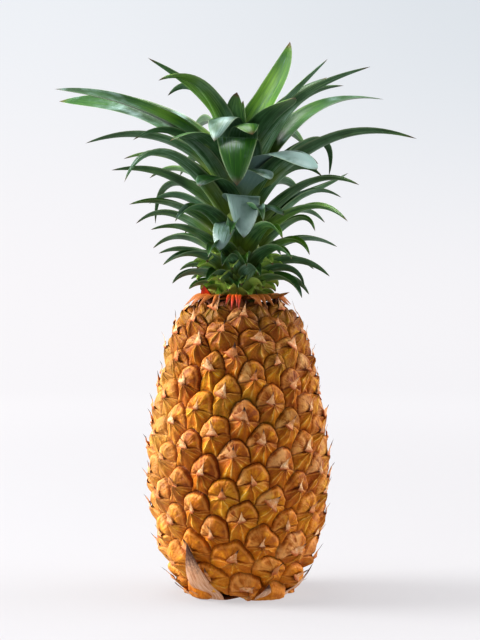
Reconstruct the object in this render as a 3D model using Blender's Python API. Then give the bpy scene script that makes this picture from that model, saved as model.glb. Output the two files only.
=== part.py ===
"""A whole pineapple with its crown, standing on the cut stalk under its base.

Units are metres, +Z is up, and the surface it stands on is z = 0. The origin is the centre of the
cut stalk. Azimuths are in degrees about +Z: 0 is the front (-Y), 90 is the right (+X), 180 the back.
"""

import math
import random

import bmesh
import bpy
from mathutils import Vector
from mathutils.geometry import delaunay_2d_cdt

MM = 0.001

# How each node's repeats are joined, and the smallest edge that the joining may leave.
SOLVER = {"crown": "MANIFOLD", "collar_bracts": "EXACT", "stalk": "EXACT"}
SLIVER = 0.002 * MM
SHARP_EDGE = 40.0

# Fruit: radius and height of the skin in the valleys between its eyes, from the base to the top.
FRUIT_OUTLINE_MM = (
    (27.0, 2.4), (36.5, 11.0), (45.5, 27.0), (52.0, 55.0), (54.5, 82.0),
    (52.3, 113.0), (46.3, 144.0), (41.5, 165.0), (34.0, 180.0), (21.0, 190.0),
)
STEPS_PER_SPAN = 24
BASE_RING_POINTS = 36
TOP_RING_POINTS = 28

# Eyes: each is one fruitlet, set on a golden-angle spiral that shows 8 rows one way and 13 the other.
EYE_AREA_MM2 = 385.5
EYE_TURN = 137.48
FIRST_EYE_AZIMUTH = 40.5
FIRST_EYE_SHARE = 0.7
EYE_CLEARANCE = 0.43
TOP_SHRINK = 0.42
TOP_SHRINK_FROM_MM = 100.0
BASE_GROWTH = 0.14
BASE_GROWTH_BELOW_MM = 60.0

# One eye in units of its own width: (angle in degrees from the right, radius, height over the valley).
EYE_RIM = (
    (0, 0.37, 0.135), (40, 0.38, 0.165), (90, 0.37, 0.165), (140, 0.38, 0.165),
    (180, 0.37, 0.135), (225, 0.38, 0.075), (270, 0.37, 0.150), (315, 0.38, 0.075),
)
EYE_TIP_HEIGHT = 0.29
EYE_TIP_DROP = 0.04
EYE_TIP_LEAN = 0.13
VALLEY_REACH = 0.95

# Crown: a short leafy stem on top of the fruit. Heights below are above the crown's own base.
CROWN_BASE = 194.0 * MM
CROWN_STEM_MM = ((15.0, 0.0), (16.5, 8.0), (15.0, 34.0), (12.0, 62.0), (7.0, 84.0), (1.5, 92.0))
STEM_SIDES = 14
LEAF_COUNT = 92
LEAF_TURN = 137.5
LEAF_ROOT_RADII_MM = (12.5, 3.5)
LEAF_ROOTS_MM = (2.5, 86.0)
LEAF_ROOT_CROWDING = 1.35
LEAF_STATIONS = (0.0, 0.12, 0.26, 0.41, 0.56, 0.72, 0.87)
LEAF_THICKNESS_MM = (2.0, 1.0)
LEAF_CUP = (0.16, 0.36)
LEAF_ROOT_SHARE = 0.86
LEAF_WIDEST_AT = 0.25
TAPER = 2.2
LEAF_SEED = 11

# Leaves that stand out at the sides, lowest first: how far the tip is from the axis across the view,
# tip height, rise of the root and of the tip in degrees, length of the arch's handles, and width.
SIDE_VIEW_FROM = 0.70
LEFT_LEAVES = (
    (32, 3, 30, -35, 0.40, 12), (31, 9, 36, -28, 0.40, 12), (42, 7, 32, -40, 0.40, 12),
    (38, 15, 36, -32, 0.40, 12), (47, 19, 35, -30, 0.40, 12), (42, 22, 40, -30, 0.40, 12),
    (51, 26, 32, -18, 0.40, 12), (56, 29, 42, -38, 0.42, 13), (55, 41, 35, -15, 0.40, 12),
    (66, 45, 42, -38, 0.42, 13), (55, 45, 68, -85, 0.75, 14), (69, 57, 38, -12, 0.40, 13),
    (58, 58, 46, -32, 0.42, 13), (70, 70, 55, -60, 0.50, 14), (60, 76, 54, -24, 0.42, 14),
    (81, 79, 40, -6, 0.40, 14), (76, 88, 52, -14, 0.42, 14), (66, 97, 64, -30, 0.44, 15),
    (99, 97, 58, -16, 0.42, 16), (119, 130, 62, -10, 0.42, 17), (118, 131, 76, -4, 0.50, 18),
    (46, 128, 76, -38, 0.44, 20), (50, 134, 76, -20, 0.44, 18), (58, 151, 76, 34, 0.40, 14),
)
RIGHT_LEAVES = (
    (40, -2, 34, -58, 0.46, 12), (46, -1, 26, -52, 0.44, 12), (42, 5, 44, -72, 0.46, 12),
    (50, 15, 34, -36, 0.40, 12), (59, 11, 32, -38, 0.40, 12), (45, 25, 42, -66, 0.46, 12),
    (65, 30, 34, -24, 0.40, 12), (49, 40, 42, -70, 0.48, 12), (58, 46, 44, -34, 0.42, 13),
    (67, 46, 36, -34, 0.42, 13), (67, 62, 40, -30, 0.42, 13), (76, 69, 48, -22, 0.42, 14),
    (73, 79, 44, 32, 0.40, 14), (54, 75, 64, -40, 0.46, 18), (50, 82, 66, -34, 0.46, 16),
    (59, 76, 62, -97, 0.72, 15), (112, 98, 43, -16, 0.42, 17), (99, 130, 60, -4, 0.42, 16),
    (68, 134, 58, 6, 0.42, 18), (82, 142, 66, 14, 0.42, 14), (58, 141, 62, 30, 0.40, 19),
    (57, 150, 64, 46, 0.40, 13), (34, 165, 76, 70, 0.36, 16),
)

# Upper leaves that face the front, lowest first: azimuth, reach, tip height, rise of the root and of
# the tip, length of the handles, and width. They arch over and hang their tips towards the front.
FRONT_LEAVES_FROM = 0.5
FRONT_LEAVES = (
    (-19, 36, 28, 66, -74, 0.62, 15), (36, 48, 50, 56, -40, 0.46, 16), (4, 47, 36, 74, -76, 0.72, 18),
    (-31, 48, 68, 66, -44, 0.50, 16), (23, 50, 72, 66, -40, 0.50, 17), (-1, 50, 76, 80, -68, 0.88, 21),
    (44, 70, 78, 66, -34, 0.52, 21), (-43, 62, 96, 68, -30, 0.46, 18), (12, 42, 100, 78, -50, 0.55, 18),
    (-21, 42, 96, 82, -66, 0.78, 20), (32, 66, 122, 72, 6, 0.42, 18), (-3, 18, 128, 84, 62, 0.38, 13),
)

# The other leaves follow a rule. Each pair is the value at the lowest leaf and at the highest.
RULE_REACH_MM = (33.0, 98.0)
RULE_CLIMB_MM = (2.0, 32.0)
RULE_RISE = (38.0, 70.0)
RULE_FALL = (-58.0, -24.0)
RULE_HANDLE = 0.46
RULE_WIDTH_MM = (12.0, 20.0)
RULE_SPREAD = (8.0, 5.0, 4.0, 10.0)
UPRIGHT_FROM = 0.90
UPRIGHT_LEAF = (16, 128, 82, 66, 0.36, 14)
UPRIGHT_SPREAD = (8.0, 14.0)

# Bracts of the topmost eyes, which stand out as a red and orange collar under the crown:
# azimuth, reach, lift of the tip, and width of each.
COLLAR_FLOOR = 190.9 * MM
COLLAR_ROOF = 193.6 * MM
COLLAR_RADIUS = 17.0 * MM
COLLAR_ROOT_RADIUS_MM = 12.0
COLLAR_SHOULDER_MM = 20.0
COLLAR_THICKNESS_MM = (1.5, 0.9)
COLLAR_CUP = 0.6 * MM
COLLAR_STATIONS = (0.0, 0.3, 0.52, 0.72, 0.88)
COLLAR_BRACTS_MM = (
    (-5, 29, -1.2, 10), (24, 27, 0.6, 9), (52, 30, -0.8, 9), (80, 33, 2.6, 10), (104, 27, 0.8, 9),
    (130, 31, -0.6, 10), (155, 26, 2.0, 8), (182, 30, 0.0, 10), (208, 28, 1.6, 9), (232, 31, -0.8, 9),
    (260, 24, 3.0, 9), (286, 29, 0.2, 10), (311, 26, 1.8, 8), (335, 30, -0.9, 9),
)

# Cut stalk under the base, with the dry bracts that wrap the lowest eyes.
STALK_HEIGHT = 2.0 * MM
STALK_RADIUS = 17.0 * MM
STALK_SIDES = 28
# Azimuth, tip height, width and gap to the skin of each dry bract.
DRY_BRACTS_MM = (
    (-36, 40, 15, 7.2), (-72, 9, 11, 8.0), (28, 13, 12, 7.2), (70, 22, 12, 7.2), (112, 15, 13, 7.2),
    (160, 27, 13, 7.2), (205, 12, 12, 7.4), (250, 24, 13, 7.2),
)
DRY_LEVEL = 0.8 * MM
DRY_FLAT_SHARE = 0.4
DRY_ROOT_SHARE = 0.5
DRY_FOOT_SHARE = 1.05
DRY_CLIMB = 1.6
DRY_EASE = 2.5
DRY_STATIONS = (0.0, 0.2, 0.4, 0.52, 0.64, 0.76, 0.88)
DRY_THICKNESS_MM = (1.5, 1.0)

EYE_COLOUR = (0.62, 0.27, 0.035, 1.0)
LEAF_COLOUR = (0.06, 0.16, 0.045, 1.0)
COLLAR_COLOUR = (0.55, 0.13, 0.05, 1.0)
DRY_COLOUR = (0.50, 0.30, 0.18, 1.0)


def clear_scene():
    for obj in list(bpy.data.objects):
        bpy.data.objects.remove(obj, do_unlink=True)


def material(name, colour, roughness):
    made = bpy.data.materials.new(name)
    made.use_nodes = True
    shader = made.node_tree.nodes["Principled BSDF"]
    shader.inputs["Base Color"].default_value = colour
    shader.inputs["Roughness"].default_value = roughness
    shader.inputs["Metallic"].default_value = 0.0
    return made


def new_object(name, bm):
    """An object of this name from the bmesh, its faces turned outwards."""
    bmesh.ops.recalc_face_normals(bm, faces=bm.faces)
    mesh = bpy.data.meshes.new(name)
    bm.to_mesh(mesh)
    bm.free()
    obj = bpy.data.objects.new(name, mesh)
    bpy.context.scene.collection.objects.link(obj)
    return obj


def dress(mesh, name, skin):
    """Names the mesh, gives it its one material and shades it smooth between its sharp edges."""
    mesh.name = name
    mesh.materials.clear()
    mesh.materials.append(skin)
    mesh.shade_smooth()
    mesh.set_sharp_from_angle(angle=math.radians(SHARP_EDGE))


def out_from_axis(azimuth):
    """Unit vector that points away from the axis at an azimuth in degrees."""
    angle = math.radians(azimuth)
    return Vector((math.sin(angle), -math.cos(angle), 0.0))


def smooth_line(points, steps):
    """Catmull-Rom curve through the points, as a list of (radius, height)."""
    first = [2 * a - b for a, b in zip(points[0], points[1])]
    last = [2 * a - b for a, b in zip(points[-1], points[-2])]
    around = [first, *points, last]
    line = []
    for k in range(len(points) - 1):
        p0, p1, p2, p3 = around[k:k + 4]
        for step in range(steps):
            t = step / steps
            line.append(tuple(
                0.5 * (2 * b + (c - a) * t + (2 * a - 5 * b + 4 * c - d) * t * t
                       + (3 * b - a - 3 * c + d) * t ** 3)
                for a, b, c, d in zip(p0, p1, p2, p3)
            ))
    line.append(tuple(points[-1]))
    return line


class FruitSkin:
    """The fruit's surface of revolution, read by how far up its outline a point is."""

    def __init__(self):
        line = smooth_line([(r * MM, z * MM) for r, z in FRUIT_OUTLINE_MM], STEPS_PER_SPAN)
        self.radius = [r for r, z in line]
        self.height = [z for r, z in line]
        self.along, self.spread, self.eyes = [0.0], [0.0], [0.0]
        for (r0, z0), (r1, z1) in zip(line, line[1:]):
            step = math.hypot(r1 - r0, z1 - z0)
            middle = (r0 + r1) / 2
            self.along.append(self.along[-1] + step)
            self.spread.append(self.spread[-1] + step / middle)
            share = 2 * math.pi * middle * step / eye_area((z0 + z1) / 2)
            self.eyes.append(self.eyes[-1] + share)

    def read(self, known, values, at):
        """The value where the rising list known reaches at, extended in line past its ends."""
        k = 1
        while k < len(known) - 1 and known[k] < at:
            k += 1
        t = (at - known[k - 1]) / (known[k] - known[k - 1])
        return values[k - 1] + t * (values[k] - values[k - 1])

    def flat(self, azimuth, along):
        """Where the point is on an angle-true flat map of the skin, with the base in the middle."""
        reach = math.exp(self.read(self.along, self.spread, along))
        angle = math.radians(azimuth)
        return Vector((reach * math.cos(angle), reach * math.sin(angle)))

    def point(self, azimuth, along, lift=0.0, climb=0.0):
        """The point in space, raised off the skin by lift and moved up along it by climb."""
        span = 0.5 * MM
        radius = self.read(self.along, self.radius, along)
        height = self.read(self.along, self.height, along)
        slope_r = (self.read(self.along, self.radius, along + span) - radius) / span
        slope_z = (self.read(self.along, self.height, along + span) - height) / span
        size = math.hypot(slope_r, slope_z)
        out, up = slope_z / size, slope_r / size
        radius += out * lift + up * climb
        height += -up * lift + out * climb
        return out_from_axis(azimuth) * radius + Vector((0, 0, height))


def eye_area(height):
    """Skin that one eye covers at this height: wider at the base, smaller under the crown."""
    top = max(0.0, height / MM - TOP_SHRINK_FROM_MM) / (FRUIT_OUTLINE_MM[-1][1] - TOP_SHRINK_FROM_MM)
    base = max(0.0, BASE_GROWTH_BELOW_MM - height / MM) / BASE_GROWTH_BELOW_MM
    return EYE_AREA_MM2 * MM * MM * (1 - TOP_SHRINK * top * top + BASE_GROWTH * base * base)


def eye_places(skin):
    """(azimuth, distance up the outline, width) of every eye, lowest first."""
    places = []
    share = FIRST_EYE_SHARE
    while True:
        along = skin.read(skin.eyes, skin.along, share)
        width = math.sqrt(eye_area(skin.read(skin.along, skin.height, along)))
        if along + EYE_CLEARANCE * width > skin.along[-1]:
            return places
        if along > EYE_CLEARANCE * width:
            azimuth = FIRST_EYE_AZIMUTH + EYE_TURN * len(places)
            places.append((azimuth, along, width))
        else:
            places.append(None)
        share += 1.0


def fruit_body(skin):
    """One closed body: valleys between the eyes, each eye's rim raised and its bract tip drawn out."""
    flat, solid, loops = [], [], []

    def add(azimuth, along, lift=0.0, climb=0.0):
        flat.append(skin.flat(azimuth, along))
        solid.append(skin.point(azimuth, along, lift, climb))
        return len(flat) - 1

    for count, along in ((BASE_RING_POINTS, 0.0), (TOP_RING_POINTS, skin.along[-1])):
        ring = [add(360 * k / count, along) for k in range(count)]
        loops += [(ring[k], ring[(k + 1) % count]) for k in range(count)]

    eyes = [eye for eye in eye_places(skin) if eye]
    valley_map = delaunay_2d_cdt([skin.flat(a, s) for a, s, w in eyes], [], [], 0, 1e-9, True)
    for corners in [*valley_map[1], *valley_map[2]]:
        group = [eyes[k] for k in corners]
        azimuth = group[0][0] + sum(turn(group[0][0], eye[0]) for eye in group) / len(group)
        along = sum(eye[1] for eye in group) / len(group)
        radius = skin.read(skin.along, skin.radius, along)
        reach = max(math.hypot(math.radians(turn(azimuth, eye[0])) * radius, eye[1] - along)
                    for eye in group)
        if reach < VALLEY_REACH * group[0][2]:
            add(azimuth, along)

    for azimuth, along, width in eyes:
        radius = skin.read(skin.along, skin.radius, along)
        ring = []
        for angle, reach, height in EYE_RIM:
            across = math.degrees(math.cos(math.radians(angle)) * reach * width / radius)
            up = math.sin(math.radians(angle)) * reach * width
            ring.append(add(azimuth + across, along + up, height * width))
        loops += [(ring[k], ring[(k + 1) % len(ring)]) for k in range(len(ring))]
        add(azimuth, along - EYE_TIP_DROP * width, EYE_TIP_HEIGHT * width, EYE_TIP_LEAN * width)

    mapped = delaunay_2d_cdt(flat, loops, [], 0, 1e-9, True)
    bm = bmesh.new()
    made = {}
    for new, old in enumerate(mapped[3]):
        made[new] = bm.verts.new(solid[old[0]])
    for face in mapped[2]:
        bm.faces.new([made[k] for k in face])
    bmesh.ops.holes_fill(bm, edges=bm.edges)
    return bm


def turn(start, end):
    """Degrees from one azimuth to another, the short way round."""
    return (end - start + 180) % 360 - 180


def between(pair, share):
    """The value a share of the way from the first of the pair to the second."""
    return pair[0] + (pair[1] - pair[0]) * share


def leaf_plan():
    """Every crown leaf: azimuth, root radius, root height, reach, tip height, root rise, tip rise,
    length of the arch's handles, and width.

    Leaves follow a golden-angle spiral. Those that show at the sides take the next entry of their
    side's list, those that face the front high up take the next entry of the front's list, and the
    rest follow a rule on height with a small seeded spread.
    """
    draw = random.Random(LEAF_SEED)
    left, right, front = list(LEFT_LEAVES), list(RIGHT_LEAVES), list(FRONT_LEAVES)
    plan = []
    for number in range(LEAF_COUNT):
        azimuth = LEAF_TURN * number % 360
        share = number / (LEAF_COUNT - 1)
        inset = between(LEAF_ROOT_RADII_MM, share)
        root = between(LEAF_ROOTS_MM, share ** LEAF_ROOT_CROWDING)
        across = math.sin(math.radians(azimuth))
        faces_front = math.cos(math.radians(azimuth)) > 0
        spread = draw.uniform(-1, 1)
        if abs(across) > SIDE_VIEW_FROM:
            side = right if across > 0 else left
            reach, tip, rise, fall, handle, width = side.pop(0)
            reach = reach / abs(across)
        elif faces_front and share > FRONT_LEAVES_FROM:
            azimuth, reach, tip, rise, fall, handle, width = front.pop(0)
        elif share > UPRIGHT_FROM:
            reach, tip, rise, fall, handle, width = UPRIGHT_LEAF
            reach += UPRIGHT_SPREAD[0] * spread
            tip += UPRIGHT_SPREAD[1] * spread
        else:
            reach = between(RULE_REACH_MM, share) + RULE_SPREAD[0] * spread
            tip = root + between(RULE_CLIMB_MM, share) + RULE_SPREAD[1] * spread
            rise = between(RULE_RISE, share) + RULE_SPREAD[2] * spread
            fall = between(RULE_FALL, share) + RULE_SPREAD[3] * spread
            handle, width = RULE_HANDLE, between(RULE_WIDTH_MM, share)
        plan.append((azimuth, inset, root, reach, tip, rise, fall, handle, width))
    return plan


def bezier(p0, p1, p2, p3, t):
    """Point and direction of a cubic curve in the (radius, height) plane."""
    a, b, c, d = (1 - t) ** 3, 3 * t * (1 - t) ** 2, 3 * t * t * (1 - t), t ** 3
    e, f, g = 3 * (1 - t) ** 2, 6 * t * (1 - t), 3 * t * t
    place = [a * w + b * x + c * y + d * z for w, x, y, z in zip(p0, p1, p2, p3)]
    heading = [e * (x - w) + f * (y - x) + g * (z - y) for w, x, y, z in zip(p0, p1, p2, p3)]
    return place, heading


def blade(azimuth, path, stations, width, cup, thick, base=0.0):
    """A tapering channelled blade in the plane of its azimuth, ending in a point.

    path(t) gives (radius, height) and direction; width, cup and thick are read at each station.
    """
    out = out_from_axis(azimuth)
    side = Vector((-out.y, out.x, 0.0))
    rows = []
    bm = bmesh.new()
    for t in stations:
        (radius, height), (run, rise) = path(t)
        size = math.hypot(run, rise)
        up = out * (-rise / size) + Vector((0, 0, run / size))
        centre = out * radius + Vector((0, 0, height + base))
        edge = up * cup(t)
        rows.append([bm.verts.new(place) for place in (
            centre - side * width(t) / 2 + edge,
            centre + up * thick(t) / 2,
            centre + side * width(t) / 2 + edge,
            centre - up * thick(t) / 2,
        )])
    (radius, height), _ = path(1.0)
    point = bm.verts.new(out * radius + Vector((0, 0, height + base)))
    bm.faces.new(rows[0])
    for near, far in zip(rows, rows[1:]):
        for k in range(4):
            bm.faces.new((near[k], near[k - 1], far[k - 1], far[k]))
    for k in range(4):
        bm.faces.new((rows[-1][k], rows[-1][k - 1], point))
    return bm


def arch(start, end, rise, fall, handle):
    """Control points of an arching curve, given the slope in degrees at its root and its tip."""
    pull = handle * math.dist(start, end)
    rise, fall = math.radians(rise), math.radians(fall)
    bend = (start[0] + pull * math.cos(rise), start[1] + pull * math.sin(rise))
    lean = (end[0] - pull * math.cos(fall), end[1] - pull * math.sin(fall))
    return start, bend, lean, end


def leaf_blade(azimuth, inset, root, reach, tip, rise, fall, handle, width):
    """One crown leaf: broad and channelled at the root, running out to a fine point."""
    start, end = (inset * MM, root * MM), (reach * MM, tip * MM)
    curve = arch(start, end, rise, fall, handle)
    return blade(
        azimuth,
        lambda t: bezier(*curve, t),
        LEAF_STATIONS,
        lambda t: width * MM * leaf_width(t),
        lambda t: width * MM * leaf_width(t) * between(LEAF_CUP, t),
        lambda t: between(LEAF_THICKNESS_MM, t) * MM,
        CROWN_BASE,
    )


def leaf_width(t):
    """Width along a leaf as a share of its widest."""
    swell = math.sin(math.pi / 2 * min(t / LEAF_WIDEST_AT, 2.0))
    return between((LEAF_ROOT_SHARE, 1.0), swell) * (1 - t ** TAPER) ** 0.9


def turned(line, sides):
    """A closed body turned about the axis from (radius, height) points, flat at both ends."""
    bm = bmesh.new()
    rings = []
    for radius, height in line:
        rings.append([bm.verts.new(out_from_axis(360 * k / sides) * radius + Vector((0, 0, height)))
                      for k in range(sides)])
    for low, high in zip(rings, rings[1:]):
        for k in range(sides):
            bm.faces.new((low[k - 1], low[k], high[k], high[k - 1]))
    bm.faces.new(rings[0])
    bm.faces.new(rings[-1])
    return bm


def fused(name, core, blades, skin):
    """The core with every blade joined to it as one body."""
    body = new_object(name, core)
    group = bpy.data.collections.new(name + "_blades")
    bpy.context.scene.collection.children.link(group)
    for number, bm in enumerate(blades):
        piece = new_object(f"{name}_blade_{number}", bm)
        bpy.context.scene.collection.objects.unlink(piece)
        group.objects.link(piece)
    union = body.modifiers.new("join", "BOOLEAN")
    union.operation = "UNION"
    union.operand_type = "COLLECTION"
    union.collection = group
    union.solver = SOLVER[name]
    graph = bpy.context.evaluated_depsgraph_get()
    mesh = bpy.data.meshes.new_from_object(body.evaluated_get(graph))
    body.modifiers.clear()
    body.data = mesh
    keep_outer_shell(mesh)
    for piece in list(group.objects):
        bpy.data.objects.remove(piece, do_unlink=True)
    bpy.data.collections.remove(group)
    dress(mesh, name, skin)


def keep_outer_shell(mesh):
    """Fills what joining sealed and drops loose scraps: only the largest shell stays.

    Faces belong to one shell where they share an edge that no third face has.
    """
    bm = bmesh.new()
    bm.from_mesh(mesh)
    bmesh.ops.dissolve_degenerate(bm, dist=SLIVER, edges=bm.edges)
    bmesh.ops.triangulate(bm, faces=bm.faces)
    waiting, shells = set(bm.faces), []
    while waiting:
        shell, front = [], [waiting.pop()]
        while front:
            face = front.pop()
            shell.append(face)
            near = {other for edge in face.edges if len(edge.link_faces) == 2
                    for other in edge.link_faces} & waiting
            waiting -= near
            front += near
        shells.append(shell)
    shells.sort(key=len)
    for shell in shells[:-1]:
        bmesh.ops.delete(bm, geom=shell, context="FACES")
    bm.to_mesh(mesh)
    bm.free()


def build_fruit(skin):
    fruit = new_object("fruit", fruit_body(skin))
    dress(fruit.data, "fruit", material("eye_skin", EYE_COLOUR, 0.45))


def build_crown():
    line = [(r * MM, z * MM + CROWN_BASE) for r, z in CROWN_STEM_MM]
    blades = [leaf_blade(*leaf) for leaf in leaf_plan()]
    fused("crown", turned(line, STEM_SIDES), blades, material("leaf_green", LEAF_COLOUR, 0.5))


def build_collar():
    line = [(COLLAR_RADIUS, COLLAR_FLOOR), (COLLAR_RADIUS, COLLAR_ROOF)]
    level = (COLLAR_FLOOR + COLLAR_ROOF) / 2
    blades = []
    for azimuth, reach, lift, width in COLLAR_BRACTS_MM:
        start, end = (COLLAR_ROOT_RADIUS_MM * MM, level), (reach * MM, level + lift * MM)
        bend = (COLLAR_SHOULDER_MM * MM, level)
        blades.append(blade(
            azimuth,
            lambda t, curve=(start, bend, bend, end): bezier(*curve, t),
            COLLAR_STATIONS,
            lambda t, width=width: width * MM * (1 - t ** TAPER),
            lambda t: COLLAR_CUP * t * (1 - t),
            lambda t: between(COLLAR_THICKNESS_MM, t) * MM,
        ))
    fused("collar_bracts", turned(line, STEM_SIDES), blades, material("collar_red", COLLAR_COLOUR, 0.5))


def build_stalk(skin):
    line = [(STALK_RADIUS, 0.0), (STALK_RADIUS, STALK_HEIGHT)]
    blades = []
    for azimuth, tip, width, gap in DRY_BRACTS_MM:
        blades.append(dry_bract(skin, azimuth, tip * MM, width * MM, gap * MM))
    fused("stalk", turned(line, STALK_SIDES), blades, material("dry_bract", DRY_COLOUR, 0.8))


def dry_bract(skin, azimuth, tip, width, gap):
    """A papery bract that leaves the stalk under the base and turns up outside the lowest eyes."""
    foot = FRUIT_OUTLINE_MM[0][0] * MM
    inner, outer = DRY_ROOT_SHARE * foot, DRY_FOOT_SHARE * foot + gap / 2

    def place(t):
        if t < DRY_FLAT_SHARE:
            return inner + (outer - inner) * t / DRY_FLAT_SHARE, DRY_LEVEL
        share = (t - DRY_FLAT_SHARE) / (1 - DRY_FLAT_SHARE)
        height = between((DRY_LEVEL, tip), share ** DRY_CLIMB)
        along = skin.read(skin.height, skin.along, max(height, skin.height[0]))
        beside_skin = skin.read(skin.along, skin.radius, along) + gap
        return between((outer, beside_skin), min(1.0, DRY_EASE * share)), height

    def path(t):
        before, after = place(max(t - 0.01, 0.0)), place(min(t + 0.01, 1.0))
        return place(t), (after[0] - before[0], after[1] - before[1])

    return blade(
        azimuth, path, DRY_STATIONS,
        lambda t: width * (1 - t ** 3),
        lambda t: 0.0,
        lambda t: between(DRY_THICKNESS_MM, t) * MM,
    )


def main():
    clear_scene()
    skin = FruitSkin()
    build_fruit(skin)
    build_collar()
    build_crown()
    build_stalk(skin)


main()
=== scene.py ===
"""A whole pineapple: the fruit in its rind of eyes, the papery bract tips over them, the cut stalk and
dry bracts below, the red collar and the leafy crown on top, standing on a pale studio floor.

Metres, +Z up. Azimuths are degrees about +Z: 0 is the front (-Y), 90 the right (+X), 180 the back.
"""

import math
import random
import bmesh
import bpy
import numpy as np
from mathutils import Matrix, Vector, noise
from mathutils.geometry import delaunay_2d_cdt


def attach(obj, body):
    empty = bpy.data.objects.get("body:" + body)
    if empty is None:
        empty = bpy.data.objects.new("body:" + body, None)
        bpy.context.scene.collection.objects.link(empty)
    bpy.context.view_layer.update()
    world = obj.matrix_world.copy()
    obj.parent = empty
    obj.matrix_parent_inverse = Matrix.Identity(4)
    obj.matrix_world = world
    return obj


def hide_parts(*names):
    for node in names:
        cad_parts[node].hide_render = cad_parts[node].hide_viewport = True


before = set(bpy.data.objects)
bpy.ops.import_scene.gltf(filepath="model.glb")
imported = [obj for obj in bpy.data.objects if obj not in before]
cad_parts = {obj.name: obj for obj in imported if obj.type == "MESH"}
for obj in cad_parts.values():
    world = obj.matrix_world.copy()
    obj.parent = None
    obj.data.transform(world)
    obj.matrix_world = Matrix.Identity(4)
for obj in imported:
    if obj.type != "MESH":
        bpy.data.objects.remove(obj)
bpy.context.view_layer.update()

# The fruit. One grown body of some 170 fruitlets fused round a core. They show as eyes in spirals of 8
# rows one way and 13 the other. Each eye is a hard domed disc of closed sepals, and under it the
# fleshy pleated foot of the bract that it grew behind.
MM = 0.001
OUTLINE_MM = (
    (27.0, 2.4), (36.5, 11.0), (45.5, 27.0), (52.0, 55.0), (54.5, 82.0),
    (52.3, 113.0), (46.3, 144.0), (41.5, 165.0), (34.0, 180.0), (21.0, 190.0),
)
UNDERSIDE_MM = (3.0, 3.4)
SHOULDER_MM = (3.0, 191.0)
OUTLINE_STEPS = 24
EYE_AREA_MM2 = 385.5
EYE_TURN = 137.48
FIRST_EYE_AZIMUTH = 40.5
FIRST_EYE_SHARE = 0.7
TOP_SHRINK, TOP_SHRINK_FROM_MM = 0.42, 100.0
BASE_GROWTH, BASE_GROWTH_BELOW_MM = 0.14, 60.0
LOWEST_EYE, GHOST_EYES = -1, 4
FOOT_REACH = 0.17
RIM_BOW = 0.13
RIM_CUTS = 7
EYE_RINGS = (0.965, 0.915, 0.84, 0.74, 0.61, 0.47, 0.33, 0.19, 0.08)
FOCUS_RISE, FOCUS_JITTER = 0.03, 0.035
GROOVE_TILT, GROOVE_CROWDING, GROOVE_DROOP = 12.0, 0.5, 0.3
LUMPS = ((110, 1.5 * MM), (300, 0.6 * MM))
DISC_HEIGHT, FOOT_HEIGHT, VALLEY_DEPTH = 0.205, 0.265, 0.07
PLEAT_SPREAD, PLEAT_HEIGHT = 11.0, 0.075
# Each sharp fold of the foot: degrees from straight down, strength, how far it swings with an eye's pleat
# number and with its tone, and how much its strength does.
PLEATS = ((-47, 1.0, 10, -5, 0.3), (-5, 1.0, -7, 9, -0.35), (38, 0.95, 8, 8, 0.35), (72, 0.4, -9, 4, -0.6))
EYE_SEED = 5
FLOOR_GAP = 0.5 * MM
SETTLED_MM = 4.5
SETTLED_BELOW_MM = (2.0, 16.0)


def smooth_line(points, steps):
    """Catmull-Rom curve through the rows of points."""
    points = np.array(points)
    p = np.vstack([2 * points[0] - points[1], points, 2 * points[-1] - points[-2]])
    t = np.linspace(0, 1, steps, endpoint=False)[:, None]
    spans = [
        0.5 * (2 * b + (c - a) * t + (2 * a - 5 * b + 4 * c - d) * t ** 2 + (3 * b - a - 3 * c + d) * t ** 3)
        for a, b, c, d in zip(p, p[1:], p[2:], p[3:])
    ]
    return np.vstack([*spans, points[-1:]])


def eye_area(height):
    """Skin that one eye covers at this height: wider at the base, smaller under the crown."""
    top = np.maximum(0, height / MM - TOP_SHRINK_FROM_MM) / (OUTLINE_MM[-1][1] - TOP_SHRINK_FROM_MM)
    base = np.maximum(0, BASE_GROWTH_BELOW_MM - height / MM) / BASE_GROWTH_BELOW_MM
    return EYE_AREA_MM2 * MM * MM * (1 - TOP_SHRINK * top ** 2 + BASE_GROWTH * base ** 2)


def turn(start, end):
    """Degrees from one azimuth to another, the short way round."""
    return (end - start + 180) % 360 - 180


def ease(low, high, value):
    """0 below low, 1 above high, and a smooth step between them."""
    t = np.clip((value - low) / (high - low), 0, 1)
    return t * t * (3 - 2 * t)


class Skin:
    """The surface in the valleys between the eyes, read by how far up its outline a point is."""

    def __init__(self):
        steps = OUTLINE_STEPS
        under = np.linspace(UNDERSIDE_MM, OUTLINE_MM[0], steps, endpoint=False)
        over = np.linspace(OUTLINE_MM[-1], SHOULDER_MM, steps + 1)[1:]
        line = np.vstack([under, smooth_line(OUTLINE_MM, steps), over]) * MM
        self.radius, self.height = line.T
        step = np.hypot(*np.diff(line, axis=0).T)
        middle, level = (line[1:] + line[:-1]).T / 2
        self.along = self.running(step)
        self.spread = self.running(step / middle)
        self.eyes = self.running(2 * math.pi * middle * step / eye_area(level))
        self.run = np.gradient(self.radius, self.along)
        self.rise = np.gradient(self.height, self.along)

    def running(self, steps):
        """Running total of the steps, zero where the side of the fruit begins."""
        total = np.concatenate([[0], np.cumsum(steps)])
        return total - total[OUTLINE_STEPS]

    def at(self, along, what):
        return np.interp(along, self.along, what)

    def point(self, azimuth, along, lift):
        """Points off the skin by lift, as rows of x, y, z."""
        run, rise = self.at(along, self.run), self.at(along, self.rise)
        size = np.hypot(run, rise)
        radius = self.at(along, self.radius) + rise / size * lift
        height = self.at(along, self.height) - run / size * lift
        angle = np.radians(azimuth)
        return np.stack([np.sin(angle) * radius, -np.cos(angle) * radius, height], axis=-1)


skin = Skin()


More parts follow.
